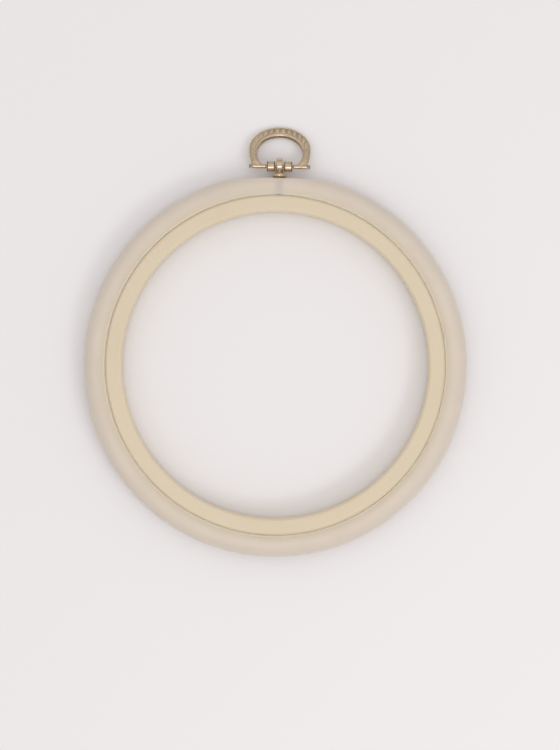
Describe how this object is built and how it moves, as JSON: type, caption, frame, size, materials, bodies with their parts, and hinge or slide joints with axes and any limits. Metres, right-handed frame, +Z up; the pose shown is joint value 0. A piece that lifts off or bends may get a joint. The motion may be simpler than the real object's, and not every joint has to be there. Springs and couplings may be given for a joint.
{
  "type": "embroidery hoop",
  "caption": "Round display embroidery hoop: rigid inner ring lifts out of a soft outer hoop that hangs by a swinging, swivelling brass bail.",
  "frame": {"origin": "on the table, under the middle of the whole object, hanger included; the hoop's own centre is 9.1 mm towards -Y", "axes": "+Z up through the hoop's opening, out of its front face; +Y from the hoop towards its hanger; +X along the hinge pin"},
  "size_m": [0.144, 0.1622, 0.009],
  "materials": {
    "soft_vinyl": "milky, slightly see-through soft vinyl with a satin shine",
    "cream_plastic": "opaque cream moulded plastic, satin",
    "brass": "worn bright brass, darker in the notches"
  },
  "bodies": {
    "hoop": {"outer_hoop": "soft_vinyl", "stem_ferrule": "brass", "stem_washer": "brass"},
    "ring": {"inner_ring": "cream_plastic"},
    "swivel": {"swivel_stem": "brass"},
    "bail": {"hanger_bail": "brass", "hinge_pin": "brass", "left_pin_collar": "brass", "right_pin_collar": "brass"}
  },
  "joints": [
    {"name": "ring_lift", "type": "slide", "parent": "hoop", "child": "ring", "axis": [0, 0, 1], "range_m": [0, 0.02]},
    {"name": "hanger_swivel", "type": "hinge", "parent": "hoop", "child": "swivel", "pos_m": [0, 0.06563, 0.0045], "axis": [0, 1, 0], "range_deg": [-15, 15]},
    {"name": "bail_hinge", "type": "hinge", "parent": "swivel", "child": "bail", "pos_m": [0, 0.06563, 0.0045], "axis": [1, 0, 0], "range_deg": [-105, 133]}
  ]
}
